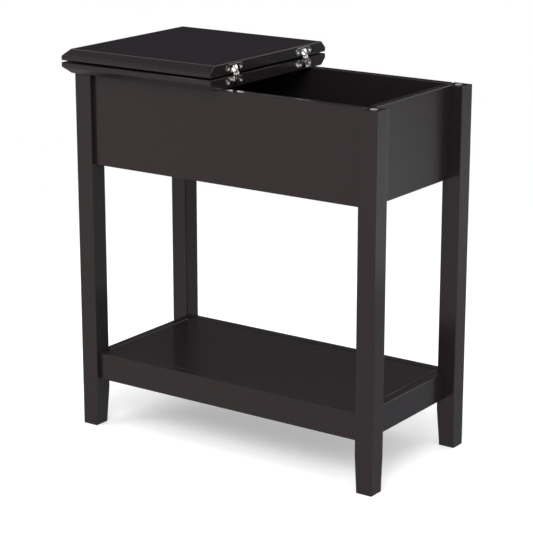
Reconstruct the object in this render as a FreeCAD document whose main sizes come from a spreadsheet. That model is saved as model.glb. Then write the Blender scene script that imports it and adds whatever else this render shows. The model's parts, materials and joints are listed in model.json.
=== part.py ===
import FreeCAD, Part
import math
import os
import re
import Sketcher

# Lift top end table: a storage box on four tapered legs, a lower shelf, and a top in two halves.
# The left half of the top is fixed. The right half is a leaf that folds over onto it on two
# concealed scissor-link hinges. The model shows the leaf folded, so the box stands open.
# Millimetres, +Z up, +X to the right, +Y to the back. Origin: floor, middle of the table's
# outline with the leaf folded. Expressions count from the middle of the four legs, and place()
# shifts each piece from there.

SIZES = [
    # four legs
    ("frame_length", 580.0, "outer faces of the legs, left to right"),
    ("frame_depth", 284.0, "outer faces of the legs, front to back"),
    ("leg_side", 32.0, "side of the square leg"),
    ("leg_height", 604.8, "floor to top of leg"),
    ("foot_side", 28.0, "side of the leg at the floor"),
    ("taper_height", 68.0, "height of the tapered part of the leg"),
    ("leg_ease", 0.7, "flat on the long edges of the leg"),
    # storage box
    ("panel_rise", 1.2, "box panels above the top of the legs"),
    ("panel_height", 151.0, "height of the box panels"),
    ("panel_thickness", 15.0, "thickness of the box panels"),
    ("front_recess", 7.5, "front and back boards behind the leg's outer face"),
    ("side_recess", 19.5, "side boards behind the leg's outer face"),
    ("bottom_thickness", 9.0, "thickness of the box bottom"),
    ("bottom_lift", 8.0, "box bottom above the lower edge of the panels"),
    # lower shelf
    ("rail_bottom", 83.0, "floor to the lower edge of the shelf rails"),
    ("rail_height", 46.0, "height of the shelf rails"),
    ("rail_thickness", 15.0, "thickness of the shelf rails"),
    ("shelf_thickness", 12.0, "thickness of the shelf board"),
    ("shelf_drop", 0.4, "shelf face below the top of the rails"),
    ("shelf_reveal", 2.0, "groove seen round the shelf board"),
    ("tongue_thickness", 6.0, "tongue round the shelf board"),
    # joints between boards
    ("tongue_length", 5.0, "how far a board enters its groove"),
    ("groove_fit", 0.15, "clearance of a board in its groove"),
    ("corner_fit", 0.5, "clearance of a board round a leg"),
    ("board_ease", 0.8, "flat on the long edges of the boards"),
    # top
    ("top_thickness", 18.5, "thickness of the two top boards"),
    ("overhang_side", 12.0, "top past the legs, left and right"),
    ("overhang_front", 18.0, "top past the legs, front and back"),
    ("bevel_width", 11.0, "bevel under the top, in plan"),
    ("bevel_height", 10.6, "bevel under the top, in height"),
    ("edge_gap", 1.4, "gap between the two boards when the leaf lies flat"),
    ("fold_gap", 2.8, "gap between the two faces when the leaf is folded"),
    ("face_round", 1.5, "radius round the face of each board"),
    # concealed hinges
    ("hinge_inset", 63.5, "centre of a hinge from the end of the board"),
    ("pivot_inset", 2.72, "fixed pivot behind the hinge edge"),
    ("pivot_depth", 5.12, "fixed pivot below the face"),
    ("centre_depth", 13.1, "centre pin below the face when the leaf lies flat"),
    ("heel_reach", 1.95, "first bend of a link, along the line from pivot to centre pin"),
    ("heel_drop", 6.32, "first bend of a link, off that line"),
    ("knee_reach", 2.52, "second bend of a link, past the centre pin"),
    ("knee_rise", 4.41, "second bend of a link, off that line"),
    ("hook_reach", 4.85, "third bend of a link, past the centre pin"),
    ("hook_rise", 13.99, "third bend of a link, off that line"),
    ("slider_back", 3.12, "slider pin short of the centre pin"),
    ("slider_rise", 13.37, "slider pin off that line"),
    ("link_width", 2.4, "width of a link between its pins"),
    ("centre_head", 1.8, "radius of a link round the centre pin"),
    ("pivot_head", 1.5, "radius of a link round its pivot"),
    ("slider_head", 1.3, "radius of a link round its slider pin"),
    ("pin_radius", 0.8, "radius of the hinge pins"),
    ("running_fit", 0.05, "radial clearance of a pin that turns"),
    ("channel_fit", 0.12, "clearance of a slider pin in its channel"),
    ("push_fit", 0.02, "radial clearance of a pin that stays put"),
    ("link_thickness", 2.4, "thickness of one link plate"),
    ("link_gap", 0.12, "gap between link plates, and between plate and cup"),
    ("cup_wall", 0.6, "upper and lower wall of a cup"),
    ("cup_height", 13.4, "height of a cup across the board's edge"),
    ("cup_depth", 16.5, "depth of the pocket in a cup"),
    ("cup_back", 0.9, "back wall of a cup"),
    ("cheek_thickness", 3.0, "cheek of a cup, with pin hole and channel"),
    ("pin_setback", 0.3, "pin ends below the cheek's outer face"),
    ("ear_thickness", 2.6, "thickness of the ears of a cup"),
    ("ear_chamfer", 0.5, "bevel round the front of the ears"),
    ("screw_spacing", 33.5, "screws of a cup, centre to centre"),
    ("mortise_fit", 0.15, "clearance of a cup in its board"),
    # screws of the hinges and of the cleats
    ("hinge_screw_head", 3.6, "radius of the head of a hinge screw"),
    ("hinge_screw_length", 15.0, "length of a hinge screw"),
    ("wood_screw_head", 3.4, "radius of the head of a cleat screw"),
    ("wood_screw_length", 24.0, "length of a cleat screw"),
    ("screw_shank", 1.6, "radius of a screw's shank"),
    ("screw_head_height", 1.6, "height of a screw's head"),
    ("screw_sink", 0.3, "head of a screw below the face around it"),
    ("screw_fit", 0.1, "clearance round a screw"),
    # cleats under the fixed half of the top
    ("cleat_side", 15.0, "side of the square cleats"),
    ("cleat_stop", 30.0, "cleats end this far behind the hinge edge"),
    ("cleat_screw_inset", 40.0, "screws into the top from the ends of a cleat"),
    # dowels between boards and legs
    ("dowel_radius", 4.0, "radius of a dowel"),
    ("dowel_half", 15.0, "dowel inside each of its two pieces"),
    ("dowel_fit", 0.05, "clearance round a dowel"),
    ("dowel_end_gap", 0.5, "space left past the end of a dowel"),
    ("panel_dowel_low", 30.0, "lower dowel above the edge of a panel"),
    ("panel_dowel_high", 118.0, "upper dowel above the edge of a panel"),
    ("rail_dowel", 18.0, "dowel above the edge of a rail"),
    # bumpers on the right legs
    ("bumper_radius", 6.0, "radius of a bumper"),
    ("bumper_height", 1.5, "height of a bumper"),
    ("bumper_bevel", 0.5, "bevel round the top of a bumper"),
]

# Places that several pieces share, worked out from the sizes.
CENTRING = "(overhang_side / 2)"
LEG_FACE_X = "(frame_length / 2 - leg_side)"
LEG_FACE_Y = "(frame_depth / 2 - leg_side)"
TOP_SEAT = "(leg_height + panel_rise)"
PANEL_BOTTOM = "(leg_height + panel_rise - panel_height)"
FIXED_FACE = "(leg_height + panel_rise + top_thickness)"
LEAF_FACE = "(leg_height + panel_rise + top_thickness + fold_gap)"
HINGE_EDGE = "(-edge_gap / 2)"
HINGE_Y = "(frame_depth / 2 + overhang_front - hinge_inset)"
TOP_END = "(frame_length / 2 + overhang_side)"
TOP_SIDE = "(frame_depth / 2 + overhang_front)"
PANEL_INNER_X = "(frame_length / 2 - side_recess - panel_thickness)"
PANEL_INNER_Y = "(frame_depth / 2 - front_recess - panel_thickness)"
RAIL_INNER_X = "(frame_length / 2 - side_recess - rail_thickness)"
RAIL_INNER_Y = "(frame_depth / 2 - front_recess - rail_thickness)"
STACK = "(5 * link_thickness + 4 * link_gap)"
CUP_TOP = "(top_thickness / 2 - cup_height / 2)"

PIVOT, HEEL, CENTRE, KNEE, HOOK, SLIDER = range(6)
PLATES_OF_A = (0, 2, 4)
PLATES_OF_B = (1, 3)
PATH_POINTS = 9
ROD_SIDES = 6
HEAD_SIDES = 8
OVERCUT = 1
NEAR = 1e-6

TOWARDS = {
    "+X": FreeCAD.Rotation(FreeCAD.Vector(0, 1, 0), 90),
    "-X": FreeCAD.Rotation(FreeCAD.Vector(0, 1, 0), -90),
    "+Y": FreeCAD.Rotation(FreeCAD.Vector(1, 0, 0), -90),
    "-Y": FreeCAD.Rotation(FreeCAD.Vector(1, 0, 0), 90),
    "+Z": FreeCAD.Rotation(),
    "-Z": FreeCAD.Rotation(FreeCAD.Vector(1, 0, 0), 180),
}
OPPOSITE = {"+X": "-X", "-X": "+X", "+Y": "-Y", "-Y": "+Y", "+Z": "-Z", "-Z": "+Z"}

doc = FreeCAD.newDocument("lift_top_end_table")
sheet = doc.addObject("Spreadsheet::Sheet", "Sizes")
for row, (alias, number, meaning) in enumerate(SIZES, start=1):
    sheet.set(f"A{row}", meaning)
    sheet.set(f"B{row}", str(number))
    sheet.setAlias(f"B{row}", alias)
doc.recompute()
ALIASES = {alias for alias, number, meaning in SIZES}
nodes = []


# ---------------------------------------------------------------- helpers

def linked(text):
    """The expression with each alias written as a cell of the sheet."""
    return re.sub(r"[a-z_]+", lambda word: "Sizes." + word[0] if word[0] in ALIASES else word[0], text)


def size(alias):
    return float(sheet.get(alias))


def bind(item, prop, text):
    item.setExpression(prop, linked(text))


def place(item, point):
    """Put an object at a point that counts from the middle of the four legs."""
    x, y, z = point
    for axis, text in (("x", f"{x} + {CENTRING}"), ("y", y), ("z", z)):
        bind(item, f"Placement.Base.{axis}", text)


def moved(point, direction, distance):
    """The point, as three expressions, moved along a row axis."""
    shifted = list(point)
    axis = "XYZ".index(direction[1])
    shifted[axis] = f"{point[axis]} {direction[0]} ({distance})"
    return tuple(shifted)


def keep(item, label):
    """Make an object one of the named pieces of the table."""
    item.Label = label
    nodes.append(item)
    return item


def box(low, extent):
    item = doc.addObject("Part::Box", "Box")
    for prop, text in zip(("Length", "Width", "Height"), extent):
        bind(item, prop, text)
    place(item, low)
    return item


def cylinder(start, direction, radius, length):
    item = doc.addObject("Part::Cylinder", "Cylinder")
    item.Placement.Rotation = TOWARDS[direction]
    bind(item, "Radius", radius)
    bind(item, "Height", length)
    place(item, start)
    return item


def rod(start, direction, radius, length):
    """A six-sided rod, for screws, dowels and their holes, which lie out of sight."""
    item = doc.addObject("Part::Prism", "Rod")
    item.Placement.Rotation = TOWARDS[direction]
    item.Polygon = ROD_SIDES
    bind(item, "Circumradius", radius)
    bind(item, "Height", length)
    place(item, start)
    return item


def fuse(items):
    item = doc.addObject("Part::MultiFuse", "Fuse")
    item.Shapes = items
    item.Refine = True
    return item


def cut(base, tools):
    item = doc.addObject("Part::Cut", "Cut")
    item.Base = base
    item.Tool = tools[0] if len(tools) == 1 else fuse(tools)
    item.Refine = True
    return item


def group(items):
    item = doc.addObject("Part::Compound", "Group")
    item.Links = items
    return item


def plane_of(body, role):
    return [item for item in body.Origin.OriginFeatures if item.Role == role][0]


def polygon(body, role, corners, offset="0"):
    """A closed sketch on a plane of the body, each corner bound to the sheet."""
    sketch = body.newObject("Sketcher::SketchObject", "Sketch")
    sketch.AttachmentSupport = (plane_of(body, role), [""])
    sketch.MapMode = "FlatFace"
    bind(sketch, "AttachmentOffset.Base.z", offset)
    spots = [FreeCAD.Vector(worth(across), worth(up), 0) for across, up in corners]
    for place_in_ring, spot in enumerate(spots):
        following = spots[(place_in_ring + 1) % len(spots)]
        sketch.addGeometry(Part.LineSegment(spot, following), False)
    for line in range(len(spots)):
        following = (line + 1) % len(spots)
        sketch.addConstraint(Sketcher.Constraint("Coincident", line, 2, following, 1))
    for line, (across, up) in enumerate(corners):
        for kind, text, number in (("DistanceX", across, spots[line].x), ("DistanceY", up, spots[line].y)):
            index = sketch.addConstraint(Sketcher.Constraint(kind, -1, 1, line, 1, number))
            bind(sketch, f"Constraints[{index}]", text)
    return sketch


def worth(text):
    """The number that an expression has now."""
    return float(sheet.evalExpression(linked(text)))


def new_body(name):
    return doc.addObject("PartDesign::Body", name)


def pad(body, sketch, length, midplane=False):
    feature = body.newObject("PartDesign::Pad", "Pad")
    feature.Profile = sketch
    bind(feature, "Length", length)
    if midplane:
        feature.SideType = "Symmetric"
    return feature


def loft(body, first, last):
    feature = body.newObject("PartDesign::AdditiveLoft", "Loft")
    feature.Profile = first
    feature.Sections = [last]
    feature.Ruled = True
    return feature


def ease(body, feature, kind, amount, wanted):
    """Chamfer or fillet the edges of the feature that the test picks."""
    doc.recompute()
    names = [f"Edge{number}" for number, edge in enumerate(feature.Shape.Edges, start=1) if wanted(edge)]
    easing = body.newObject(f"PartDesign::{kind}", kind)
    easing.Base = (feature, names)
    bind(easing, {"Chamfer": "Size", "Fillet": "Radius"}[kind], amount)


def runs_along(edge, axis):
    """True for a straight edge parallel to a row axis."""
    ends = [vertex.Point for vertex in edge.Vertexes]
    if len(ends) != 2:
        return False
    run = ends[1] - ends[0]
    return abs(abs(run[axis]) - edge.Length) < NEAR


# ---------------------------------------------------------------- boards and legs

def leg(side, turn):
    """A leg at the left front or right front corner, turned half a turn for the back ones.

    Its inner faces slope outwards below the taper, down to the foot.
    """
    body = new_body("Leg")
    outer_x = f"({side} * frame_length / 2)"
    outer_y = "(-frame_depth / 2)"
    inner_x = f"({outer_x} - {side} * leg_side)"
    inner_y = f"({outer_y} + leg_side)"
    corners = [
        (f"{outer_x} - {side} * leg_ease", outer_y), (f"{inner_x} + {side} * leg_ease", outer_y),
        (inner_x, f"{outer_y} + leg_ease"), (inner_x, f"{inner_y} - leg_ease"),
        (f"{inner_x} + {side} * leg_ease", inner_y), (f"{outer_x} - {side} * leg_ease", inner_y),
        (outer_x, f"{inner_y} - leg_ease"), (outer_x, f"{outer_y} + leg_ease"),
    ]
    pad(body, polygon(body, "XY_Plane", corners), "leg_height")
    foot_x = f"({outer_x} - {side} * foot_side)"
    foot_y = f"({outer_y} + foot_side)"
    for role, inner, foot in (("XZ_Plane", inner_x, foot_x), ("YZ_Plane", inner_y, foot_y)):
        slope = polygon(body, role, [(inner, "0"), (inner, "taper_height"), (foot, "0")])
        pocket = body.newObject("PartDesign::Pocket", "Taper")
        pocket.Profile = slope
        pocket.Type = "ThroughAll"
        pocket.SideType = "Symmetric"
    body.Placement.Rotation = FreeCAD.Rotation(FreeCAD.Vector(0, 0, 1), turn)
    place(body, ("0", "0", "0"))
    return body


def edge_board(level, height, thickness, length, middle, turn, groove):
    """A board on edge between two legs, with a groove along its inner face.

    The body's own y runs inwards from the show face, and x along the board from its middle.
    """
    body = new_body("Board")
    groove_low, groove_high = groove
    depth = f"({thickness} - tongue_length)"
    corners = [
        ("0", "0"), (thickness, "0"), (thickness, groove_low), (depth, groove_low),
        (depth, groove_high), (thickness, groove_high), (thickness, height), ("0", height),
    ]
    feature = pad(body, polygon(body, "YZ_Plane", corners), length, midplane=True)
    tall = worth(height)

    def long_arris(edge):
        z = edge.CenterOfMass.z
        return runs_along(edge, 0) and (z < NEAR or z > tall - NEAR)

    ease(body, feature, "Chamfer", "board_ease", long_arris)
    body.Placement.Rotation = FreeCAD.Rotation(FreeCAD.Vector(0, 0, 1), turn)
    place(body, (*middle, level))
    return body


# The four sides of the frame: name, middle of the show face, turn of the boards, the two ways
# along the boards, the way the show face looks, and the legs at their ends.
SIDES = [
    ("front", ("0", "-(frame_depth / 2 - front_recess)"), 0, "XY", "-Y", ("front_left", "front_right")),
    ("back", ("0", "(frame_depth / 2 - front_recess)"), 180, "XY", "+Y", ("back_left", "back_right")),
    ("left", ("-(frame_length / 2 - side_recess)", "0"), -90, "YX", "-X", ("front_left", "back_left")),
    ("right", ("(frame_length / 2 - side_recess)", "0"), 90, "YX", "+X", ("front_right", "back_right")),
]
# The two rings of boards: name, level, height, thickness, groove and levels of the dowels.
RINGS = [
    ("panel", PANEL_BOTTOM, "panel_height", "panel_thickness",
     ("bottom_lift - groove_fit", "bottom_lift + bottom_thickness + groove_fit"),
     ("panel_dowel_low", "panel_dowel_high")),
    ("rail", "rail_bottom", "rail_height", "rail_thickness",
     ("rail_height - shelf_drop - shelf_thickness - groove_fit",
      "rail_height - shelf_drop - shelf_thickness + tongue_thickness + groove_fit"),
     ("rail_dowel",)),
]


def dowel_joint(end, run, board_cuts, leg_cuts):
    """A dowel half in the board and half in the leg."""
    back = OPPOSITE[run]
    start = moved(end, back, "dowel_half + dowel_end_gap")
    bore = rod(start, run, "dowel_radius + dowel_fit", "2 * (dowel_half + dowel_end_gap)")
    board_cuts.append(bore)
    leg_cuts.append(bore)
    return rod(moved(end, back, "dowel_half"), run, "dowel_radius", "2 * dowel_half")


def build_frame():
    """The legs, the panels of the box, the rails of the shelf, and the dowels in their joints."""
    bodies = {
        "front_left": leg(-1, 0),
        "front_right": leg(1, 0),
        "back_right": leg(-1, 180),
        "back_left": leg(1, 180),
    }
    leg_cuts = {corner: [] for corner in bodies}
    dowels = []
    for side_name, middle, turn, axes, face, corners in SIDES:
        half = LEG_FACE_X if axes == "XY" else LEG_FACE_Y
        for ring, level, height, thickness, groove, dowel_levels in RINGS:
            board = edge_board(level, height, thickness, f"2 * {half}", middle, turn, groove)
            board_cuts = []
            for sign, corner in zip("-+", corners):
                for above in dowel_levels:
                    axis = moved((*middle, f"{level} + {above}"), OPPOSITE[face], f"{thickness} / 2")
                    end = moved(axis, sign + axes[0], half)
                    dowels.append(dowel_joint(end, sign + axes[0], board_cuts, leg_cuts[corner]))
            keep(cut(board, board_cuts), f"{side_name}_{ring}")
    for corner, body in bodies.items():
        keep(cut(body, leg_cuts[corner]), f"leg_{corner}")
    keep(group(dowels), "dowels")


def tongue_plan(inner_x, inner_y):
    """Corners of a board whose edges enter grooves and whose corners clear the legs."""
    x = f"({inner_x} + tongue_length - groove_fit)"
    y = f"({inner_y} + tongue_length - groove_fit)"
    step_x = f"({LEG_FACE_X} - corner_fit)"
    step_y = f"({LEG_FACE_Y} - corner_fit)"
    quarter = [(x, step_y), (step_x, step_y), (step_x, y)]
    corners = [(across, up) for across, up in quarter]
    corners += [(f"-{across}", up) for across, up in quarter[::-1]]
    corners += [(f"-{across}", f"-{up}") for across, up in quarter]
    corners += [(across, f"-{up}") for across, up in quarter[::-1]]
    return corners


def build_box_bottom():
    body = new_body("Box_bottom")
    pad(body, polygon(body, "XY_Plane", tongue_plan(PANEL_INNER_X, PANEL_INNER_Y)), "bottom_thickness")
    place(body, ("0", "0", f"{PANEL_BOTTOM} + bottom_lift"))
    keep(body, "box_bottom")


def build_shelf():
    """The shelf board: a tongue all round below, and a smaller face that leaves a reveal."""
    body = new_body("Shelf_board")
    pad(body, polygon(body, "XY_Plane", tongue_plan(RAIL_INNER_X, RAIL_INNER_Y)), "tongue_thickness")
    x = f"({RAIL_INNER_X} - shelf_reveal)"
    y = f"({RAIL_INNER_Y} - shelf_reveal)"
    corners = [(f"-{x}", f"-{y}"), (x, f"-{y}"), (x, y), (f"-{x}", y)]
    face = pad(body, polygon(body, "XY_Plane", corners), "shelf_thickness")
    top = size("shelf_thickness")
    ease(body, face, "Chamfer", "board_ease", lambda edge: edge.CenterOfMass.z > top - NEAR)
    place(body, ("0", "0", "rail_bottom + rail_height - shelf_drop - shelf_thickness"))
    keep(body, "shelf_board")


# ---------------------------------------------------------------- top

def top_board(leaf):
    """One half of the top, bevelled below on its three outer sides; the leaf is upside down."""
    body = new_body("Top_board")

    def outline(inset, height):
        left = f"(-{TOP_END} + {inset})"
        back = f"({TOP_SIDE} - {inset})"
        corners = [(left, f"-{back}"), (HINGE_EDGE, f"-{back}"), (HINGE_EDGE, back), (left, back)]
        return polygon(body, "XY_Plane", corners, height)

    loft(body, outline("bevel_width", "0"), outline("0", "bevel_height"))
    band = pad(body, outline("0", "bevel_height"), "top_thickness - bevel_height")
    face = size("top_thickness")
    ease(body, band, "Fillet", "face_round", lambda edge: edge.BoundBox.ZMin > face - NEAR)
    if leaf:
        body.Placement.Rotation = TOWARDS["-Z"]
        place(body, ("0", "0", f"{LEAF_FACE} + top_thickness"))
    else:
        place(body, ("0", "0", TOP_SEAT))
    return body


# ---------------------------------------------------------------- screws

def screw(point, look, head, length):
    """A screw whose head looks along a row axis and lies just below the face around it."""
    into = OPPOSITE[look]
    seat = moved(point, into, "screw_sink")
    return fuse([rod(seat, into, head, "screw_head_height"), rod(seat, into, "screw_shank", length)])


def screw_hole(point, look, head, length):
    into = OPPOSITE[look]
    counterbore = rod(moved(point, look, OVERCUT), into, f"{head} + screw_fit",
                      f"{OVERCUT} + screw_sink + screw_head_height")
    shank = rod(point, into, "screw_shank + screw_fit", f"screw_sink + {length} + screw_fit")
    return fuse([counterbore, shank])


# ---------------------------------------------------------------- concealed hinges

# In a hinge's own frame x runs out of the hinge edge and z up from the face of the fixed half.

def hinge_motion():
    """Radius of the centre pin round the fixed pivot, its angle when the leaf lies flat, and how
    far the first links turn for each turn of the leaf."""
    reach = size("pivot_inset") + size("edge_gap") / 2
    drop = size("centre_depth") - size("pivot_depth")
    radius = math.hypot(reach, drop)
    flat = math.atan2(-drop, reach)
    folded = math.asin((size("pivot_depth") + size("fold_gap") / 2) / radius)
    return radius, flat, (folded - flat) / math.pi


def link_points():
    """Pivot, heel, centre pin, knee, hook and slider pin of a link, from its pivot."""
    radius, flat, ratio = hinge_motion()
    return [
        FreeCAD.Vector(0, 0, 0),
        FreeCAD.Vector(size("heel_reach"), 0, -size("heel_drop")),
        FreeCAD.Vector(radius, 0, 0),
        FreeCAD.Vector(radius + size("knee_reach"), 0, size("knee_rise")),
        FreeCAD.Vector(radius + size("hook_reach"), 0, size("hook_rise")),
        FreeCAD.Vector(radius - size("slider_back"), 0, size("slider_rise")),
    ]


def link_place(turn):
    """Where the first links are when the leaf has turned this far from flat, in radians."""
    radius, flat, ratio = hinge_motion()
    pivot = FreeCAD.Vector(-size("pivot_inset"), 0, -size("pivot_depth"))
    swing = FreeCAD.Rotation(FreeCAD.Vector(0, -1, 0), math.degrees(flat + ratio * turn))
    return FreeCAD.Placement(pivot, swing)


def mirrored(point, turn):
    """The point on the other half of the hinge: the halves mirror each other across a plane
    through the centre pin."""
    centre = link_place(turn).multVec(link_points()[CENTRE])
    normal = FreeCAD.Vector(math.cos(turn / 2), 0, math.sin(turn / 2))
    return point - normal * (2 * normal.dot(point - centre))


def slider_path():
    """The way of the second links' slider pin in the fixed cup, from flat to folded."""
    path = []
    for step in range(PATH_POINTS):
        turn = math.pi * step / (PATH_POINTS - 1)
        path.append(mirrored(link_place(turn).multVec(link_points()[SLIDER]), turn))
    return path


def across_fold(shape):
    """The shape mirrored to the leaf's side of the folded hinge."""
    middle = FreeCAD.Vector(0, 0, size("fold_gap") / 2)
    return shape.mirror(middle, FreeCAD.Vector(0, 0, 1))


def strip_corners(points, half_width):
    """Corners of a strip of even width along the points. The outside of each bend is cut off
    square."""
    ways = [(end - start).normalize() for start, end in zip(points, points[1:])]
    sides = {1: [], -1: []}
    for index, spot in enumerate(points):
        first = ways[max(index - 1, 0)]
        second = ways[min(index, len(ways) - 1)]
        for side, corners in sides.items():
            arms = [FreeCAD.Vector(-way.z, 0, way.x) * (side * half_width) for way in (first, second)]
            inner = side * (first.z * second.x - first.x * second.z) < -NEAR
            if inner:
                reach = 1 + first.dot(second)
                corners.append(spot + (arms[0] + arms[1]) / reach)
            elif arms[0].distanceToPoint(arms[1]) < NEAR:
                corners.append(spot + arms[0])
            else:
                corners += [spot + arms[0], spot + arms[1]]
    return sides[1] + sides[-1][::-1]


def across(corners, low, high):
    """A flat piece with these corners, between two places across the hinge."""
    face = Part.Face(Part.makePolygon(corners + corners[:1]))
    face.translate(FreeCAD.Vector(0, low, 0))
    return face.extrude(FreeCAD.Vector(0, high - low, 0))


def spokes():
    turns = [2 * math.pi * step / HEAD_SIDES for step in range(HEAD_SIDES)]
    return [FreeCAD.Vector(math.cos(turn), 0, math.sin(turn)) for turn in turns]


def facets(point, radius, low, high):
    """An eight-sided piece round a point."""
    return across([point + spoke * radius for spoke in spokes()], low, high)


def channel_corners(points, half_width):
    """Corners of the eight-sided channel that keeps its sides this far from all the points."""
    sides = [(spoke, max(point.dot(spoke) for point in points) + half_width) for spoke in spokes()]
    corners = []
    for (first, near), (second, far) in zip(sides, sides[1:] + sides[:1]):
        turned = first.x * second.z - first.z * second.x
        x = (near * second.z - far * first.z) / turned
        z = (far * first.x - near * second.x) / turned
        corners.append(FreeCAD.Vector(x, 0, z))
    return corners


def disc(point, radius, low, high):
    base = FreeCAD.Vector(point.x, low, point.z)
    return Part.makeCylinder(radius, high - low, base, FreeCAD.Vector(0, 1, 0))


def running_hole(point, low, high):
    return disc(point, size("pin_radius") + size("running_fit"), low - OVERCUT, high + OVERCUT)


def pressed_hole(point, low, high):
    """A hole whose eight sides hold a round pin."""
    corner = (size("pin_radius") + size("push_fit")) / math.cos(math.pi / HEAD_SIDES)
    return facets(point, corner, low - OVERCUT, high + OVERCUT)


def set_shape(name, shape, y):
    """A piece of a hinge, at the hinge's place across the table."""
    item = doc.addObject("Part::Feature", name)
    item.Shape = Part.Compound([shape])
    place(item, (HINGE_EDGE, y, FIXED_FACE))
    return item


def link_plate(position, second):
    """One link plate of the first or the second set, as it stands when the leaf is folded."""
    pitch = size("link_thickness") + size("link_gap")
    low = -worth(STACK) / 2 + position * pitch
    high = low + size("link_thickness")
    points = link_points()
    plate = across(strip_corners(points, size("link_width") / 2), low, high)
    heads = {PIVOT: "pivot_head", CENTRE: "centre_head", SLIDER: "slider_head"}
    for index, alias in heads.items():
        plate = plate.fuse(facets(points[index], size(alias), low, high))
    plate = plate.cut(running_hole(points[PIVOT], low, high))
    centre_hole = running_hole if second else pressed_hole
    plate = plate.cut(centre_hole(points[CENTRE], low, high))
    slider_radius = size("pin_radius") + size("push_fit")
    plate = plate.cut(facets(points[SLIDER], slider_radius, low - OVERCUT, high + OVERCUT))
    plate = plate.removeSplitter()
    plate.Placement = link_place(math.pi)
    return across_fold(plate) if second else plate


def edge_box(leaf, y, reach, width, near, far, past):
    """A box in a board's hinge edge, between two depths below the board's face."""
    low_z = f"{LEAF_FACE} + {near}" if leaf else f"{FIXED_FACE} - ({far})"
    low = (f"{HINGE_EDGE} - ({reach})", f"{y} - ({width}) / 2", low_z)
    return box(low, (f"{reach} + {past}", width, f"{far} - ({near})"))


def ear_centres(leaf, y):
    level = f"{LEAF_FACE} + top_thickness / 2" if leaf else f"{FIXED_FACE} - top_thickness / 2"
    return [(HINGE_EDGE, f"{y} {sign} screw_spacing / 2", level) for sign in "-+"]


def cup_form(leaf, y, extra, past):
    """The outer form of a cup with its two round ears, or with extra, the mortise for it."""
    width = f"({STACK} + 2 * (link_gap + cheek_thickness + {extra}))"
    near = f"({CUP_TOP} - {extra})"
    far = f"({CUP_TOP} + cup_height + {extra})"
    block = edge_box(leaf, y, f"cup_depth + cup_back + {extra}", width, near, far, past)
    plate = edge_box(leaf, y, f"ear_thickness + {extra}", "screw_spacing", near, far, past)
    ears = [
        cylinder(moved(centre, "+X", past), "-X", f"cup_height / 2 + {extra}",
                 f"ear_thickness + {extra} + {past}")
        for centre in ear_centres(leaf, y)
    ]
    return fuse([block, plate] + ears)


def cup(label, leaf, y):
    """A hinge cup: ears for two screws, a pocket for the links, and cheeks that hold the pivot
    pin and guide the slider pin."""
    form = cup_form(leaf, y, "0", "0")
    doc.recompute()
    edge_x = worth(f"{HINGE_EDGE} + {CENTRING}")
    bevel = doc.addObject("Part::Chamfer", "Bevel")
    bevel.Base = form
    amount = size("ear_chamfer")
    bevel.Edges = [
        (number, amount, amount)
        for number, edge in enumerate(form.Shape.Edges, start=1)
        if edge.BoundBox.XMin > edge_x - NEAR
    ]
    pocket = edge_box(leaf, y, "cup_depth", f"({STACK} + 2 * link_gap)", f"({CUP_TOP} + cup_wall)",
                      f"({CUP_TOP} + cup_height - cup_wall)", OVERCUT)
    reach = worth(STACK) / 2 + size("link_gap") + size("cheek_thickness")
    pivot_hole = pressed_hole(link_place(math.pi).Base, -reach, reach)
    corners = channel_corners(slider_path(), size("pin_radius") + size("channel_fit"))
    channel = across(corners, -reach - OVERCUT, reach + OVERCUT)
    ways = pivot_hole.fuse(channel)
    if leaf:
        ways = across_fold(ways)
    holes = [screw_hole(centre, "+X", "hinge_screw_head", "hinge_screw_length")
             for centre in ear_centres(leaf, y)]
    return keep(cut(bevel, [pocket, set_shape("Ways", ways, y)] + holes), label)


def build_hinges():
    """Both hinges, and the cuts for them in the fixed half and in the leaf of the top."""
    side_reach = worth(STACK) / 2 + size("link_gap") + size("cheek_thickness") - size("pin_setback")
    points = [link_place(math.pi).multVec(point) for point in link_points()]
    radius = size("pin_radius")
    centre_pins = []
    pivots = {False: [], True: []}
    sliders = {False: [], True: []}
    screws = {False: [], True: []}
    mortises = {False: [], True: []}
    for name, y in (("front", f"-{HINGE_Y}"), ("rear", HINGE_Y)):
        for leaf, half in ((False, "fixed"), (True, "leaf")):
            cup(f"{name}_{half}_cup", leaf, y)
            mortises[leaf].append(cup_form(leaf, y, "mortise_fit", OVERCUT))
            for centre in ear_centres(leaf, y):
                screws[leaf].append(screw(centre, "+X", "hinge_screw_head", "hinge_screw_length"))
                pilot = rod(centre, "-X", "screw_shank + screw_fit",
                            "screw_sink + hinge_screw_length + screw_fit")
                mortises[leaf].append(pilot)
        first = Part.Compound([link_plate(position, False) for position in PLATES_OF_A])
        second = Part.Compound([link_plate(position, True) for position in PLATES_OF_B])
        keep(set_shape("Links", first, y), f"{name}_links_a")
        keep(set_shape("Links", second, y), f"{name}_links_b")
        centre_reach = worth(STACK) / 2
        centre_pin = disc(points[CENTRE], radius, -centre_reach, centre_reach)
        centre_pins.append(set_shape("Pin", centre_pin, y))
        for leaf in (False, True):
            pivot = disc(points[PIVOT], radius, -side_reach, side_reach)
            slider = facets(link_points()[SLIDER], radius, -side_reach, side_reach)
            slider.Placement = link_place(math.pi)
            pivots[leaf].append(set_shape("Pin", across_fold(pivot) if leaf else pivot, y))
            sliders[leaf].append(set_shape("Pin", slider if leaf else across_fold(slider), y))
    keep(group(pivots[False]), "fixed_pivot_pins")
    keep(group(pivots[True]), "leaf_pivot_pins")
    keep(group(centre_pins), "centre_pins")
    keep(group(sliders[True]), "slider_pins_a")
    keep(group(sliders[False]), "slider_pins_b")
    keep(group(screws[False]), "hinge_screws_fixed")
    keep(group(screws[True]), "hinge_screws_leaf")
    return mortises[False], mortises[True]


# ---------------------------------------------------------------- cleats and bumpers

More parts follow.
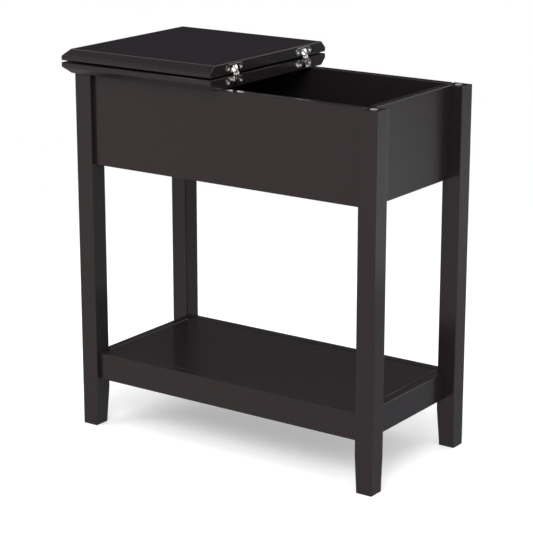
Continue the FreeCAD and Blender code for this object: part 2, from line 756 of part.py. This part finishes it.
def build_cleats():
    """Cleats inside the box under the fixed half, with screws up into the top.

    Gives the holes that the screws need in the top.
    """
    top_holes = []
    screws = []
    low_z = f"({TOP_SEAT} - cleat_side)"
    end_x = f"({HINGE_EDGE} - cleat_stop)"
    short_half = f"({PANEL_INNER_Y} - cleat_side)"
    middle = f"({PANEL_INNER_Y} - cleat_side / 2)"
    left_x = f"(-{PANEL_INNER_X} + cleat_side / 2)"
    stations = [f"(-{PANEL_INNER_X} + cleat_screw_inset)", f"({end_x} - cleat_screw_inset)"]
    inset_y = f"({short_half} - cleat_screw_inset)"
    long_extent = (f"({PANEL_INNER_X} + {end_x})", "cleat_side", "cleat_side")
    short_extent = ("cleat_side", f"2 * {short_half}", "cleat_side")
    cleats = [
        ("front", f"-{PANEL_INNER_Y}", long_extent, [(x, f"-{middle}") for x in stations]),
        ("back", short_half, long_extent, [(x, middle) for x in stations]),
        ("left", f"-{short_half}", short_extent, [(left_x, inset_y), (left_x, f"-{inset_y}")]),
    ]
    for name, low_y, extent, spots in cleats:
        holes = []
        for x, y in spots:
            point = (x, y, low_z)
            screws.append(screw(point, "-Z", "wood_screw_head", "wood_screw_length"))
            holes.append(screw_hole(point, "-Z", "wood_screw_head", "wood_screw_length"))
        keep(cut(box((f"-{PANEL_INNER_X}", low_y, low_z), extent), holes), f"{name}_cleat")
        top_holes += holes
    keep(group(screws), "top_screws")
    return top_holes


def build_bumpers():
    """Clear bumpers on the two right legs, where the leaf lands when it is opened."""
    bumpers = []
    x = "(frame_length / 2 - leg_side / 2)"
    y = "(frame_depth / 2 - leg_side / 2)"
    for sign in ("-", ""):
        disc_form = cylinder((x, f"{sign}{y}", "leg_height"), "+Z", "bumper_radius", "bumper_height")
        doc.recompute()
        domed = doc.addObject("Part::Chamfer", "Dome")
        domed.Base = disc_form
        top = size("leg_height") + size("bumper_height")
        bevel = size("bumper_bevel")
        domed.Edges = [
            (number, bevel, bevel)
            for number, edge in enumerate(disc_form.Shape.Edges, start=1)
            if edge.BoundBox.ZMin > top - NEAR
        ]
        bumpers.append(domed)
    keep(group(bumpers), "leg_bumpers")


# ---------------------------------------------------------------- the whole table

build_frame()
build_box_bottom()
build_shelf()
top_screw_holes = build_cleats()
fixed_mortises, leaf_mortises = build_hinges()
keep(cut(top_board(False), fixed_mortises + top_screw_holes), "fixed_top")
keep(cut(top_board(True), leaf_mortises), "flip_leaf")
build_bumpers()
doc.recompute()

failed = [item.Label for item in doc.Objects if {"Invalid", "Error"} & set(item.State)]
for item in nodes:
    if item.Shape.isNull() or not item.Shape.isValid() or not item.Shape.Solids:
        failed.append(item.Label)
if failed:
    raise RuntimeError("objects that failed: " + ", ".join(failed))
os.makedirs("parts", exist_ok=True)
for item in nodes:
    item.Shape.exportStep(f"parts/{item.Label}.step")
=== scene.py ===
"""Lift top end table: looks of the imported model, camera, light and floor.

Lengths are in metres, and colours are linear.
"""
import json
import math

import bmesh
import bpy
from mathutils import Matrix, Vector


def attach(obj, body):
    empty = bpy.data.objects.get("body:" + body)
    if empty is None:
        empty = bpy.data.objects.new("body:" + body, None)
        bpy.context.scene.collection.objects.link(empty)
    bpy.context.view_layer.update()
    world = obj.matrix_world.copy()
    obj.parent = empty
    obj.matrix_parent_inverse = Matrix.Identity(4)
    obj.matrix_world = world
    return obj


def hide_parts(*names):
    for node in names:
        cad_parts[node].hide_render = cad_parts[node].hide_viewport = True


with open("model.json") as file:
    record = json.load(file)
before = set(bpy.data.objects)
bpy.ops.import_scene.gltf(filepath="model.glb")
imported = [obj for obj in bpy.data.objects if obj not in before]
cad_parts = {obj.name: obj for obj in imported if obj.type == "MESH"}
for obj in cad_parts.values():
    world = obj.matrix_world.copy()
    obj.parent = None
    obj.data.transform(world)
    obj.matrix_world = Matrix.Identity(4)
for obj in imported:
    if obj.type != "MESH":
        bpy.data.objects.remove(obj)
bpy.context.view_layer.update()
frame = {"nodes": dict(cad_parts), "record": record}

# ---------------------------------------------------------------- what is made of what

LEGS = ("leg_front_left", "leg_front_right", "leg_back_left", "leg_back_right")
TOPS = ("fixed_top", "flip_leaf")
LACQUERED = (
    *LEGS,
    "front_panel", "back_panel", "left_panel", "right_panel", "box_bottom",
    "front_rail", "back_rail", "left_rail", "right_rail", "shelf_board",
    *TOPS,
    "front_cleat", "back_cleat", "left_cleat",
)
# The grain runs up the legs, from front to back in some boards and from left to right in the rest.
CROSSWISE = ("left_panel", "right_panel", "left_rail", "right_rail", "left_cleat")
LENGTHWISE = tuple(name for name in LACQUERED if name not in (*LEGS, *CROSSWISE))
LINKS = ("front_links_a", "front_links_b", "rear_links_a", "rear_links_b")
FIXED_CUPS = ("front_fixed_cup", "rear_fixed_cup")
PLATED = (
    *FIXED_CUPS, "front_leaf_cup", "rear_leaf_cup", *LINKS, "hinge_screws_fixed", "hinge_screws_leaf",
)
STEEL = (
    "centre_pins", "fixed_pivot_pins", "leaf_pivot_pins", "slider_pins_a", "slider_pins_b",
    "top_screws",
)

BODY_OF = {
    name: body for body, names in frame["record"]["behaviour"]["bodies"].items() for name in names
}

# ---------------------------------------------------------------- node helpers


def opaque(colour):
    return (*colour, 1.0)


def feed(tree, node, inputs):
    """Set inputs of a node to values, or join them to other nodes' sockets."""
    for name, value in inputs.items():
        if isinstance(value, bpy.types.NodeSocket):
            tree.links.new(value, node.inputs[name])
        else:
            node.inputs[name].default_value = value


def add(tree, kind, inputs=None, **settings):
    """A node with its settings and inputs."""
    node = tree.nodes.new(kind)
    for name, value in settings.items():
        setattr(node, name, value)
    feed(tree, node, inputs or {})
    return node


def new_material(name):
    material = bpy.data.materials.new(name)
    material.use_nodes = True
    material.node_tree.nodes.clear()
    return material, material.node_tree


def shader(tree, base, roughness, metallic=0.0):
    """A Principled shader joined to the output."""
    inputs = {"Base Color": opaque(base), "Roughness": roughness, "Metallic": metallic}
    body = add(tree, "ShaderNodeBsdfPrincipled", inputs)
    add(tree, "ShaderNodeOutputMaterial", {"Surface": body.outputs["BSDF"]})
    return body


def noise(tree, scale, detail, stretch=(1.0, 1.0, 1.0)):
    """Noise in the object's own coordinates."""
    place = add(tree, "ShaderNodeTexCoord").outputs["Object"]
    mapping = add(tree, "ShaderNodeMapping", {"Vector": place, "Scale": stretch})
    inputs = {"Vector": mapping.outputs["Vector"], "Scale": scale, "Detail": detail}
    return add(tree, "ShaderNodeTexNoise", inputs).outputs["Fac"]


def ramp(tree, level, stops):
    """A colour for a level, between stops of a level and a colour each."""
    node = add(tree, "ShaderNodeValToRGB", {"Fac": level})
    elements = node.color_ramp.elements
    elements.remove(elements[1])
    elements[0].position = stops[0][0]
    elements[0].color = opaque(stops[0][1])
    for position, colour in stops[1:]:
        elements.new(position).color = opaque(colour)
    return node.outputs["Color"]


# Noise seldom leaves this range, which is spread over the whole range of what it drives.
NOISE_LOW = 0.3
NOISE_HIGH = 0.7


def spread(tree, texture, low, high):
    """Noise spread over a range of values."""
    inputs = {"Value": texture, "From Min": NOISE_LOW, "From Max": NOISE_HIGH, "To Min": low, "To Max": high}
    return add(tree, "ShaderNodeMapRange", inputs).outputs["Result"]


def tint(tree, texture, low, high):
    """Noise as a colour between two."""
    return ramp(tree, texture, ((NOISE_LOW, low), (NOISE_HIGH, high)))


def bump(tree, texture, strength, distance):
    inputs = {"Height": texture, "Strength": strength, "Distance": distance}
    return add(tree, "ShaderNodeBump", inputs).outputs["Normal"]


def calculated(tree, operation, first, second):
    """A Math node's result; each input is a number or a socket."""
    return add(tree, "ShaderNodeMath", {0: first, 1: second}, operation=operation).outputs["Value"]


def is_ray(tree, kinds):
    """1 for these kinds of ray, else 0."""
    rays = add(tree, "ShaderNodeLightPath").outputs
    total = rays[kinds[0]]
    for kind in kinds[1:]:
        total = calculated(tree, "MAXIMUM", total, rays[kind])
    return total


def mixed_shader(tree, factor, first, second):
    return add(tree, "ShaderNodeMixShader", {0: factor, 1: first, 2: second}).outputs["Shader"]


# ---------------------------------------------------------------- materials

LACQUER = (0.0133, 0.0104, 0.0109)
LACQUER_DARK = (0.0128, 0.0100, 0.0105)
LACQUER_LIGHT = (0.0138, 0.0108, 0.0113)
LACQUER_IOR = 1.39
GRAIN_SCALE = 40.0
ALONG = 0.6
ACROSS = 8.0
PEEL_SCALE = 500.0


def lacquer(name, stretch):
    """Black-brown lacquer over wood: faint grain in the colour and the sheen, fine orange peel."""
    material, tree = new_material(name)
    body = shader(tree, LACQUER, roughness=0.2)
    grain = noise(tree, GRAIN_SCALE, 6.0, stretch)
    peel = noise(tree, PEEL_SCALE, 2.0)
    feed(tree, body, {
        "IOR": LACQUER_IOR,
        "Base Color": tint(tree, grain, LACQUER_DARK, LACQUER_LIGHT),
        "Roughness": spread(tree, grain, 0.195, 0.207),
        "Normal": bump(tree, peel, strength=0.01, distance=0.0001),
    })
    return material


def plated(name, base, smooth, rough):
    """Plated steel with soft variation in its polish."""
    material, tree = new_material(name)
    body = shader(tree, base, smooth, metallic=1.0)
    wear = noise(tree, 700.0, 4.0)
    feed(tree, body, {
        "Roughness": spread(tree, wear, smooth, rough),
        "Normal": bump(tree, wear, strength=0.05, distance=0.0001),
    })
    return material


def raw_beech():
    material, tree = new_material("raw_beech")
    body = shader(tree, (0.60, 0.42, 0.25), roughness=0.6)
    grain = noise(tree, 120.0, 6.0, (1.0, 1.0, 6.0))
    feed(tree, body, {
        "Base Color": tint(tree, grain, (0.50, 0.33, 0.19), (0.66, 0.47, 0.29)),
        "Normal": bump(tree, grain, strength=0.2, distance=0.0002),
    })
    return material


def clear_soft_plastic():
    material, tree = new_material("clear_soft_plastic")
    body = shader(tree, (0.86, 0.87, 0.88), roughness=0.12)
    feed(tree, body, {
        "Transmission Weight": 0.75,
        "IOR": 1.45,
        "Roughness": spread(tree, noise(tree, 600.0, 2.0), 0.08, 0.2),
    })
    return material


def put(material, names):
    for name in names:
        slots = frame["nodes"][name].data.materials
        slots.clear()
        slots.append(material)


BRIGHT_PLATING = plated("bright_plating", (0.74, 0.73, 0.71), smooth=0.08, rough=0.18)
ZINC = plated("zinc_plated_steel", (0.55, 0.55, 0.57), smooth=0.25, rough=0.4)
CLEAR_PLASTIC = clear_soft_plastic()

put(lacquer("lacquer_upright", (ACROSS, ACROSS, ALONG)), LEGS)
put(lacquer("lacquer_lengthwise", (ALONG, ACROSS, ACROSS)), LENGTHWISE)
put(lacquer("lacquer_crosswise", (ACROSS, ALONG, ACROSS)), CROSSWISE)
put(BRIGHT_PLATING, PLATED)
put(ZINC, STEEL)
put(raw_beech(), ("dowels",))
put(CLEAR_PLASTIC, ("leg_bumpers",))

# ---------------------------------------------------------------- pieces that stand for nodes

MERGE = 1e-6


def new_piece(name, mesh):
    piece = bpy.data.objects.new(name, mesh)
    bpy.context.scene.collection.objects.link(piece)
    return piece


def stand_for(piece, node):
    """Let a piece ride on the node's body, in the node's place, and hide the node."""
    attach(piece, BODY_OF[node])
    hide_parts(node)


def node_form(node):
    """A node's mesh to work on, with its doubled vertices merged."""
    form = bmesh.new()
    form.from_mesh(frame["nodes"][node].data)
    bmesh.ops.remove_doubles(form, verts=form.verts, dist=MERGE)
    return form


def solid_boxes(node):
    """The lowest and highest corner of each separate solid of a node, from front to back."""
    form = node_form(node)
    met = set()
    boxes = []
    for start in form.verts:
        if start in met:
            continue
        met.add(start)
        solid = [start]
        for vert in solid:
            for edge in vert.link_edges:
                other = edge.other_vert(vert)
                if other not in met:
                    met.add(other)
                    solid.append(other)
        sides = [sorted(vert.co[axis] for vert in solid) for axis in range(3)]
        boxes.append((Vector([side[0] for side in sides]), Vector([side[-1] for side in sides])))
    form.free()
    return sorted(boxes, key=lambda box: box[0].y)


# ---------------------------------------------------------------- eased edges

FLAT = math.radians(0.5)
SHARP = math.radians(20.0)
EASED_TOP = 0.0011
EASED_WOOD = 0.0003
EASED_LINK = 0.00025
MOUTH_MARGIN = 0.003

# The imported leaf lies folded, so its cups are right above the fixed ones.
CUP_BOXES = [box for cup in FIXED_CUPS for box in solid_boxes(cup)]
EAR_FACE = max(high.x for low, high in CUP_BOXES)


def eased(node, width, wanted):
    """A copy of a node, standing for it, with its wanted sharp edges rounded."""
    form = node_form(node)
    bmesh.ops.dissolve_limit(form, angle_limit=FLAT, verts=form.verts, edges=form.edges)
    weight = form.edges.layers.float.new("bevel_weight_edge")
    for edge in form.edges:
        if edge.calc_face_angle(0.0) > SHARP and wanted(edge):
            edge[weight] = 1.0
    mesh = frame["nodes"][node].data.copy()
    form.to_mesh(mesh)
    form.free()
    piece = new_piece(node + "_eased", mesh)
    rounding = piece.modifiers.new("rounding", "BEVEL")
    rounding.width = width
    rounding.segments = 3
    rounding.limit_method = "WEIGHT"
    rounding.use_clamp_overlap = False
    stand_for(piece, node)


def long_edge(edge):
    return edge.calc_length() > 0.020


def at_mortise(point):
    """Whether a point of a top board is beside a hinge cup, seen from above."""
    for low, high in CUP_BOXES:
        beside = low.y - MOUTH_MARGIN < point.y < high.y + MOUTH_MARGIN
        if beside and point.x > low.x - MOUTH_MARGIN:
            return True
    return False


def board_edge(edge):
    """Edges of a top board, without the mouths of its hinge mortises."""
    middle = (edge.verts[0].co + edge.verts[1].co) / 2
    return edge.calc_length() > 0.008 and not at_mortise(middle)


def plate_rim(edge):
    """Edges between the flat of a link plate and its outline."""
    flats = [abs(face.normal.y) > 0.99 for face in edge.link_faces]
    return flats.count(True) == 1 and edge.calc_length() > 0.0004


for node in LACQUERED:
    if node in TOPS:
        eased(node, EASED_TOP, board_edge)
    else:
        eased(node, EASED_WOOD, long_edge)
for node in LINKS:
    eased(node, EASED_LINK, plate_rim)

# ---------------------------------------------------------------- hinge screws and bumpers

SCREW_STEPS = 40
# Profiles are pairs of the distance along the axis and the radius. The screws' distances are
# from the face of the hinge's ears.
SINK = ((-0.0020, 0.0039), (0.00004, 0.0039), (0.00006, 0.0037), (-0.00005, 0.0036), (-0.0013, 0.0025))
HEAD_FACE = -0.0006
POINT = ((-0.0150, 0.0002), (-0.0138, 0.0011), (-0.0125, 0.0013))
RIDGES = 8
RIDGE_PITCH = 0.0011
FIRST_CREST = (-0.0121, 0.0016)
FIRST_ROOT = (-0.0116, 0.0012)
HEAD = (
    (-0.0031, 0.0013), (-0.0022, 0.0018), (-0.0011, 0.0027), (-0.0009, 0.0027), (HEAD_FACE, 0.0023),
)
# One arm of the cross recess: across its end, and into the corner with the next arm.
RECESS_ARM = ((0.0017, -0.0004), (0.0017, 0.0004), (0.0005, 0.0005))
RECESS_DEPTH = 0.0011
RECESS_TAPER = 0.6
FIRST_TURN = 0.5
TURN_BETWEEN = 1.3

DOME_STEPS = 48
DOME = (
    (0.0, 0.0), (0.0, 0.0056), (0.0003, 0.0060), (0.0006, 0.0060), (0.0009, 0.0057),
    (0.0012, 0.0048), (0.00138, 0.0034), (0.00147, 0.0018), (0.0015, 0.0),
)


def close_ring(form, low, high):
    """Faces between two rings of as many vertices."""
    for step in range(len(low)):
        after = (step + 1) % len(low)
        form.faces.new((low[step], low[after], high[after], high[step]))


def turned(form, profile, centre, along, steps):
    """Turn a profile round an axis through the centre."""
    axes = along.to_track_quat("Z", "Y").to_matrix()
    rings = []
    for far, radius in profile:
        ring = []
        for step in range(steps):
            angle = 2.0 * math.pi * step / steps
            local = Vector((radius * math.cos(angle), radius * math.sin(angle), far))
            ring.append(form.verts.new(centre + axes @ local))
        rings.append(ring)
    for low, high in zip(rings, rings[1:]):
        close_ring(form, low, high)
    return rings


def cross_recess(form, rim, centre, along, turn):
    """Close a screw head with a face that has a cross recess."""
    axes = along.to_track_quat("Z", "Y").to_matrix()
    top = []
    bottom = []
    for quarter in range(4):
        arm = Matrix.Rotation(turn + quarter * math.pi / 2.0, 3, "Z")
        for x, y in RECESS_ARM:
            mouth = Vector((x, y, 0.0))
            floor_point = Vector((x * RECESS_TAPER, y * RECESS_TAPER, -RECESS_DEPTH))
            top.append(form.verts.new(centre + axes @ arm @ mouth))
            bottom.append(form.verts.new(centre + axes @ arm @ floor_point))
    close_ring(form, bottom, top)
    form.faces.new(bottom)
    edges = []
    for ring in (rim, top):
        edges += [form.edges.get((ring[index - 1], ring[index])) for index in range(len(ring))]
    bmesh.ops.triangle_fill(form, edges=edges, use_beauty=True)


def finish_piece(name, form, material, smooth):
    bmesh.ops.remove_doubles(form, verts=form.verts, dist=1e-7)
    bmesh.ops.recalc_face_normals(form, faces=form.faces)
    mesh = bpy.data.meshes.new(name)
    form.to_mesh(mesh)
    form.free()
    for face in mesh.polygons:
        face.use_smooth = smooth
    mesh.materials.append(material)
    return new_piece(name, mesh)


def screw_profile():
    profile = list(POINT)
    for ridge in range(RIDGES):
        for far, radius in (FIRST_CREST, FIRST_ROOT):
            profile.append((far + RIDGE_PITCH * ridge, radius))
    return (*profile, *HEAD)


def hinge_screws(node):
    """Countersunk screws with cross recesses, and the countersinks in the ears round them."""
    form = bmesh.new()
    along = Vector((1.0, 0.0, 0.0))
    for index, (low, high) in enumerate(solid_boxes(node)):
        middle = (low + high) / 2
        centre = Vector((EAR_FACE, middle.y, middle.z))
        sink = turned(form, SINK, centre, along, SCREW_STEPS)
        close_ring(form, sink[-1], sink[0])
        rings = turned(form, screw_profile(), centre, along, SCREW_STEPS)
        form.faces.new(rings[0])
        turn = FIRST_TURN + TURN_BETWEEN * index
        cross_recess(form, rings[-1], centre + HEAD_FACE * along, along, turn)
    stand_for(finish_piece(node + "_cross_recess", form, BRIGHT_PLATING, smooth=False), node)


def bumpers(node):
    form = bmesh.new()
    for low, high in solid_boxes(node):
        middle = (low + high) / 2
        seat = Vector((middle.x, middle.y, low.z))
        turned(form, DOME, seat, Vector((0.0, 0.0, 1.0)), DOME_STEPS)
    stand_for(finish_piece("leg_bumper_domes", form, CLEAR_PLASTIC, smooth=True), node)


hinge_screws("hinge_screws_fixed")
hinge_screws("hinge_screws_leaf")
bumpers("leg_bumpers")

# ---------------------------------------------------------------- floor

# The rays that show the white background. Gloss shows the painted studio below instead.
WHITE_FOR = ("Is Camera Ray", "Is Transmission Ray")
WHITE = (1.0, 1.0, 1.0)
PALE = (0.86, 0.86, 0.86)
FLOOR_REACH = 4.0
FLOOR_LIFT = 0.3
FADE_START = 0.8
FADE_END = 1.9


def pale_floor():
    """A pale matt floor, lifted to white for the camera, that fades out far from the table."""
    material, tree = new_material("pale_floor")
    matt = add(tree, "ShaderNodeBsdfDiffuse", {"Color": opaque(PALE)})
    strength = calculated(tree, "MULTIPLY", is_ray(tree, WHITE_FOR), FLOOR_LIFT)
    lift = add(tree, "ShaderNodeEmission", {"Color": opaque(WHITE), "Strength": strength})
    lit = add(tree, "ShaderNodeAddShader", {0: matt.outputs["BSDF"], 1: lift.outputs["Emission"]})
    place = add(tree, "ShaderNodeTexCoord").outputs["Object"]
    distance = add(tree, "ShaderNodeVectorMath", {0: place}, operation="LENGTH").outputs["Value"]
    inputs = {"Value": distance, "From Min": FADE_START, "From Max": FADE_END}
    fade = add(tree, "ShaderNodeMapRange", inputs, interpolation_type="SMOOTHSTEP").outputs["Result"]
    clear = add(tree, "ShaderNodeBsdfTransparent").outputs["BSDF"]
    surface = mixed_shader(tree, fade, lit.outputs["Shader"], clear)
    add(tree, "ShaderNodeOutputMaterial", {"Surface": surface})
    return material


floor_mesh = bpy.data.meshes.new("floor")
floor_corners = [
    (-FLOOR_REACH, -FLOOR_REACH, 0.0), (FLOOR_REACH, -FLOOR_REACH, 0.0),
    (FLOOR_REACH, FLOOR_REACH, 0.0), (-FLOOR_REACH, FLOOR_REACH, 0.0),
]
floor_mesh.from_pydata(floor_corners, [], [(0, 1, 2, 3)])
floor_mesh.materials.append(pale_floor())
floor = new_piece("floor", floor_mesh)
# Gloss shows the world's floor instead.
floor.visible_glossy = False

# ---------------------------------------------------------------- lamps

TABLE_MIDDLE = (0.0, 0.0, 0.4)


def soft_light(name, place, size, watts, aim=TABLE_MIDDLE):
    data = bpy.data.lights.new(name, "AREA")
    data.shape = "RECTANGLE"
    data.size, data.size_y = size
    data.energy = watts
    lamp = new_piece(name, data)
    lamp.location = place
    lamp.rotation_mode = "QUATERNION"
    lamp.rotation_quaternion = (Vector(aim) - Vector(place)).to_track_quat("-Z", "Y")
    lamp.visible_camera = False
    return lamp


soft_light("overhead", (0.2, -0.4, 3.2), size=(3.0, 3.0), watts=26.0)
# Gloss doesn't show this lamp, because the shelf would mirror it by way of the back left leg.
front_left = soft_light("front_left", (-2.6, -2.8, 1.9), size=(1.8, 2.2), watts=40.0)
front_left.visible_glossy = False
soft_light("front_right", (1.2, -2.6, 2.6), size=(1.6, 1.6), watts=60.0, aim=(0.0, 0.0, 0.5))
soft_light("right", (3.0, -0.4, 1.9), size=(1.8, 2.2), watts=12.0)
# A faint low card that only gloss shows: it shades the end panel from near to far.
end_card = soft_light("end_card", (1.02, 0.637, 0.3), size=(0.6, 0.5), watts=0.5, aim=(0.27, -0.11, 0.5))
end_card.visible_diffuse = False

# ---------------------------------------------------------------- world

FILL = (0.97, 0.98, 1.0)
FILL_STRENGTH = 0.8

# What gloss shows is a studio, painted by the direction (X, Y, Z) that a reflection leaves in.
# A pair of levels says where something is full and where it has faded out.
WALL_LOW = (0.022, 0.022, 0.028)
WALL_HIGH = (0.085, 0.085, 0.088)
BAND = (2.4, 2.4, 2.4)
CEILING = (0.14, 0.12, 0.13)
WALLS = (
    (0.0, WALL_LOW), (0.13, WALL_LOW), (0.2, WALL_HIGH), (0.44, WALL_HIGH),
    (0.49, BAND), (0.55, BAND), (0.61, CEILING),
)
# Behind on the left, where the shelf and the top look, the walls and their band stand higher.
RISE = 0.1
RISE_X = (-0.38, -0.2)

# The floor's levels run from near the table (0) to the horizon (1).
FLOOR_Z = (-0.4, 0.0)
FLOOR_BEHIND = ((0.15, 0.42), (0.36, 0.38), (0.45, 0.36), (0.5, 0.3), (0.57, 0.04))
FLOOR_BEHIND_COLOUR = (0.95, 0.96, 1.02)
FLOOR_BEFORE = ((0.1, 0.58), (0.5, 0.78), (1.0, 0.8))
FLOOR_BEFORE_COLOUR = (1.12, 0.95, 0.95)
BEFORE_Y = (-0.2, 0.6)
HORIZON_Z = (-0.02, 0.06)
# Behind on the left the far floor is dark, and only the near floor is lit.
BEHIND_LEFT = (-0.574, 0.819, 0.0)
LIT_ASIDE = (0.45, 0.85)
LIT_NEAR_Z = (-0.26, -0.16)

# A low softbox behind on the right: it grazes the end panel, and the back leg shades it.
SOFTBOX = (3.0, 3.0, 3.15)
SOFTBOX_EDGES = (
    ("X", 0.35, 0.43), ("X", 0.06, 0.0), ("Y", 0.5, 0.4), ("Z", -0.12, -0.09), ("Z", -0.24, -0.29),
)
# A higher one, further round to the right, that the plated parts pick up.
GLEAM = (2.8, 2.8, 2.8)
GLEAM_EDGES = (("X", 0.35, 0.3), ("Z", 0.2, 0.26), ("Z", 0.08, 0.04), ("Y", 0.4, 0.3))


def fading(tree, value, full, gone):
    """1 at and beyond the first level, 0 at and beyond the second, smooth between them."""
    inputs = {"Value": value, "From Min": full, "From Max": gone, "To Min": 1.0, "To Max": 0.0}
    return add(tree, "ShaderNodeMapRange", inputs, interpolation_type="SMOOTHSTEP").outputs["Result"]


def patch(tree, way, edges):
    """A soft-edged patch of directions, inside all of its edges."""
    fades = [fading(tree, way[axis], full, gone) for axis, full, gone in edges]
    inside = fades[0]
    for fade in fades[1:]:
        inside = calculated(tree, "MULTIPLY", inside, fade)
    return inside


def mixed(tree, factor, first, second):
    """A mix of two colours, each a socket or a colour with its alpha."""
    node = add(tree, "ShaderNodeMix", data_type="RGBA")
    feed(tree, node, {"Factor": factor, "A": first, "B": second})
    return node.outputs["Result"]


def floor_colour(tree, depth, levels, colour):
    return ramp(tree, depth, [(position, [part * level for part in colour]) for position, level in levels])


def studio_colour(tree):
    """Dark walls with a bright band over a lit floor, and two softboxes."""
    direction = add(tree, "ShaderNodeTexCoord").outputs["Generated"]
    way = add(tree, "ShaderNodeSeparateXYZ", {"Vector": direction}).outputs

    rise = calculated(tree, "MULTIPLY", fading(tree, way["X"], *RISE_X), RISE)
    walls = ramp(tree, calculated(tree, "SUBTRACT", way["Z"], rise), WALLS)

    inputs = {"Value": way["Z"], "From Min": FLOOR_Z[0], "From Max": FLOOR_Z[1]}
    depth = add(tree, "ShaderNodeMapRange", inputs).outputs["Result"]
    behind = floor_colour(tree, depth, FLOOR_BEHIND, FLOOR_BEHIND_COLOUR)
    before = floor_colour(tree, depth, FLOOR_BEFORE, FLOOR_BEFORE_COLOUR)
    lit_floor = mixed(tree, fading(tree, way["Y"], *BEFORE_Y), behind, before)

    inputs = {0: direction, 1: BEHIND_LEFT}
    towards = add(tree, "ShaderNodeVectorMath", inputs, operation="DOT_PRODUCT").outputs["Value"]
    aside = fading(tree, towards, *LIT_ASIDE)
    lit = calculated(tree, "MAXIMUM", aside, fading(tree, way["Z"], *LIT_NEAR_Z))
    is_floor = calculated(tree, "MULTIPLY", fading(tree, way["Z"], *HORIZON_Z), lit)
    colour = mixed(tree, is_floor, walls, lit_floor)

    colour = mixed(tree, patch(tree, way, SOFTBOX_EDGES), colour, opaque(SOFTBOX))
    return mixed(tree, patch(tree, way, GLEAM_EDGES), colour, opaque(GLEAM))


def background(tree, colour, strength):
    inputs = {"Color": colour, "Strength": strength}
    return add(tree, "ShaderNodeBackground", inputs).outputs["Background"]


world = bpy.data.worlds.new("studio")
bpy.context.scene.world = world
world.use_nodes = True
sky = world.node_tree
sky.nodes.clear()
fill = background(sky, opaque(FILL), FILL_STRENGTH)
studio = background(sky, studio_colour(sky), 1.0)
lighting = mixed_shader(sky, is_ray(sky, ("Is Glossy Ray",)), fill, studio)
white = background(sky, opaque(WHITE), 1.0)
surroundings = mixed_shader(sky, is_ray(sky, WHITE_FOR), lighting, white)
add(sky, "ShaderNodeOutputWorld", {"Surface": surroundings})

bpy.context.scene.view_settings.view_transform = "Standard"

# ---------------------------------------------------------------- camera

PICTURE_WIDTH = 533
SENSOR_WIDTH = 36.0
FOCAL_PIXELS = 1920.6
CAMERA_PLACE = Vector((1.7528, -2.4999, 1.1457))
YAW = 0.6120
PITCH = 0.2731

camera_data = bpy.data.cameras.new("camera")
camera_data.sensor_width = SENSOR_WIDTH
camera_data.lens = SENSOR_WIDTH * FOCAL_PIXELS / PICTURE_WIDTH
camera = new_piece("camera", camera_data)
level_x = -math.sin(YAW) * math.cos(PITCH)
level_y = math.cos(YAW) * math.cos(PITCH)
looking = Vector((level_x, level_y, -math.sin(PITCH)))
facing = looking.to_track_quat("-Z", "Y").to_matrix().to_4x4()
camera.matrix_world = Matrix.Translation(CAMERA_PLACE) @ facing
bpy.context.scene.camera = camera
